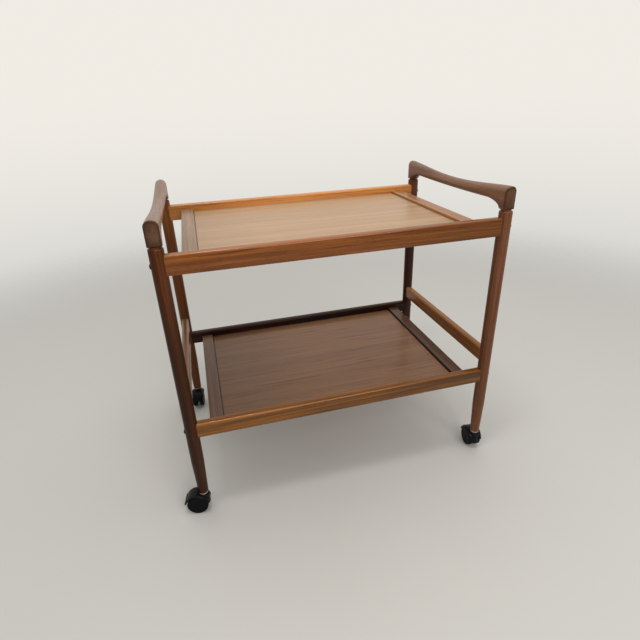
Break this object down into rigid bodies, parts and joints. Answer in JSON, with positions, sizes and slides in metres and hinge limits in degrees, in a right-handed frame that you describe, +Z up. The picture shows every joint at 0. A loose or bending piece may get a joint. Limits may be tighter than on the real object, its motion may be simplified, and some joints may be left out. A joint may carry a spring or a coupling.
{
  "type": "serving cart",
  "caption": "Wooden serving cart: two rectangular tray shelves between round legs, a dipped grab handle at each end, on swivelling twin-wheel casters.",
  "frame": {"origin": "on the floor, below the middle of the cart", "axes": "+X along the cart from the left handle to the right one, +Y to the rear, +Z up"},
  "size_m": [0.7944, 0.4742, 0.681],
  "materials": {
    "teak_frame": "oiled and lacquered hardwood, satin, reddish brown with fine straight grain",
    "teak_veneer": "satin veneer with fine straight grain along the cart",
    "dowel_beech": "plain beech dowels",
    "steel": "zinc-plated steel",
    "pale_socket": "aged pale nylon socket with a collar",
    "dark_plastic": "dark brown push-in caps, satin",
    "black_plastic": "black moulded nylon, satin",
    "black_wheel": "black hard nylon wheel, satin faces and a duller tread"
  },
  "bodies": {
    "cart": {"leg_front_left": "teak_frame", "leg_front_right": "teak_frame", "leg_rear_left": "teak_frame", "leg_rear_right": "teak_frame", "handle_left": "teak_frame", "handle_right": "teak_frame", "upper_rail_front": "teak_frame", "upper_rail_rear": "teak_frame", "lower_rail_front": "teak_frame", "lower_rail_rear": "teak_frame", "side_stretcher_left": "teak_frame", "side_stretcher_right": "teak_frame", "upper_batten_left": "teak_frame", "upper_batten_right": "teak_frame", "lower_batten_left": "teak_frame", "lower_batten_right": "teak_frame", "upper_panel": "teak_veneer", "lower_panel": "teak_veneer", "rail_bolts": "steel", "bolt_caps": "dark_plastic", "barrel_nuts": "steel", "rail_dowels": "dowel_beech", "stretcher_dowels": "dowel_beech", "grip_rings": "steel", "socket_front_left": "pale_socket", "socket_front_right": "pale_socket", "socket_rear_left": "pale_socket", "socket_rear_right": "pale_socket", "stem_front_left": "steel", "stem_front_right": "steel", "stem_rear_left": "steel", "stem_rear_right": "steel"},
    "caster_front_left": {"caster_housing_front_left": "black_plastic", "axle_front_left": "steel"},
    "left_wheel_front_left": {"left_wheel_front_left": "black_wheel"},
    "right_wheel_front_left": {"right_wheel_front_left": "black_wheel"},
    "caster_front_right": {"caster_housing_front_right": "black_plastic", "axle_front_right": "steel"},
    "left_wheel_front_right": {"left_wheel_front_right": "black_wheel"},
    "right_wheel_front_right": {"right_wheel_front_right": "black_wheel"},
    "caster_rear_left": {"caster_housing_rear_left": "black_plastic", "axle_rear_left": "steel"},
    "left_wheel_rear_left": {"left_wheel_rear_left": "black_wheel"},
    "right_wheel_rear_left": {"right_wheel_rear_left": "black_wheel"},
    "caster_rear_right": {"caster_housing_rear_right": "black_plastic", "axle_rear_right": "steel"},
    "left_wheel_rear_right": {"left_wheel_rear_right": "black_wheel"},
    "right_wheel_rear_right": {"right_wheel_rear_right": "black_wheel"}
  },
  "joints": [
    {"name": "swivel_front_left", "type": "hinge", "parent": "cart", "child": "caster_front_left", "pos_m": [-0.35, -0.219, 0.045], "axis": [0, 0, 1], "continuous": true},
    {"name": "left_wheel_spin_front_left", "type": "hinge", "parent": "caster_front_left", "child": "left_wheel_front_left", "pos_m": [-0.36526, -0.21631, 0.024], "axis": [-0.1736, -0.9848, 0], "continuous": true},
    {"name": "right_wheel_spin_front_left", "type": "hinge", "parent": "caster_front_left", "child": "right_wheel_front_left", "pos_m": [-0.36526, -0.21631, 0.024], "axis": [-0.1736, -0.9848, 0], "continuous": true},
    {"name": "swivel_front_right", "type": "hinge", "parent": "cart", "child": "caster_front_right", "pos_m": [0.35, -0.219, 0.045], "axis": [0, 0, 1], "continuous": true},
    {"name": "left_wheel_spin_front_right", "type": "hinge", "parent": "caster_front_right", "child": "left_wheel_front_right", "pos_m": [0.35162, -0.20358, 0.024], "axis": [-0.9945, 0.1045, 0], "continuous": true},
    {"name": "right_wheel_spin_front_right", "type": "hinge", "parent": "caster_front_right", "child": "right_wheel_front_right", "pos_m": [0.35162, -0.20358, 0.024], "axis": [-0.9945, 0.1045, 0], "continuous": true},
    {"name": "swivel_rear_left", "type": "hinge", "parent": "cart", "child": "caster_rear_left", "pos_m": [-0.35, 0.219, 0.045], "axis": [0, 0, 1], "continuous": true},
    {"name": "left_wheel_spin_rear_left", "type": "hinge", "parent": "caster_rear_left", "child": "left_wheel_rear_left", "pos_m": [-0.35162, 0.20358, 0.024], "axis": [0.9945, -0.1045, 0], "continuous": true},
    {"name": "right_wheel_spin_rear_left", "type": "hinge", "parent": "caster_rear_left", "child": "right_wheel_rear_left", "pos_m": [-0.35162, 0.20358, 0.024], "axis": [0.9945, -0.1045, 0], "continuous": true},
    {"name": "swivel_rear_right", "type": "hinge", "parent": "cart", "child": "caster_rear_right", "pos_m": [0.35, 0.219, 0.045], "axis": [0, 0, 1], "continuous": true},
    {"name": "left_wheel_spin_rear_right", "type": "hinge", "parent": "caster_rear_right", "child": "left_wheel_rear_right", "pos_m": [0.36526, 0.21631, 0.024], "axis": [0.1736, 0.9848, 0], "continuous": true},
    {"name": "right_wheel_spin_rear_right", "type": "hinge", "parent": "caster_rear_right", "child": "right_wheel_rear_right", "pos_m": [0.36526, 0.21631, 0.024], "axis": [0.1736, 0.9848, 0], "continuous": true}
  ]
}
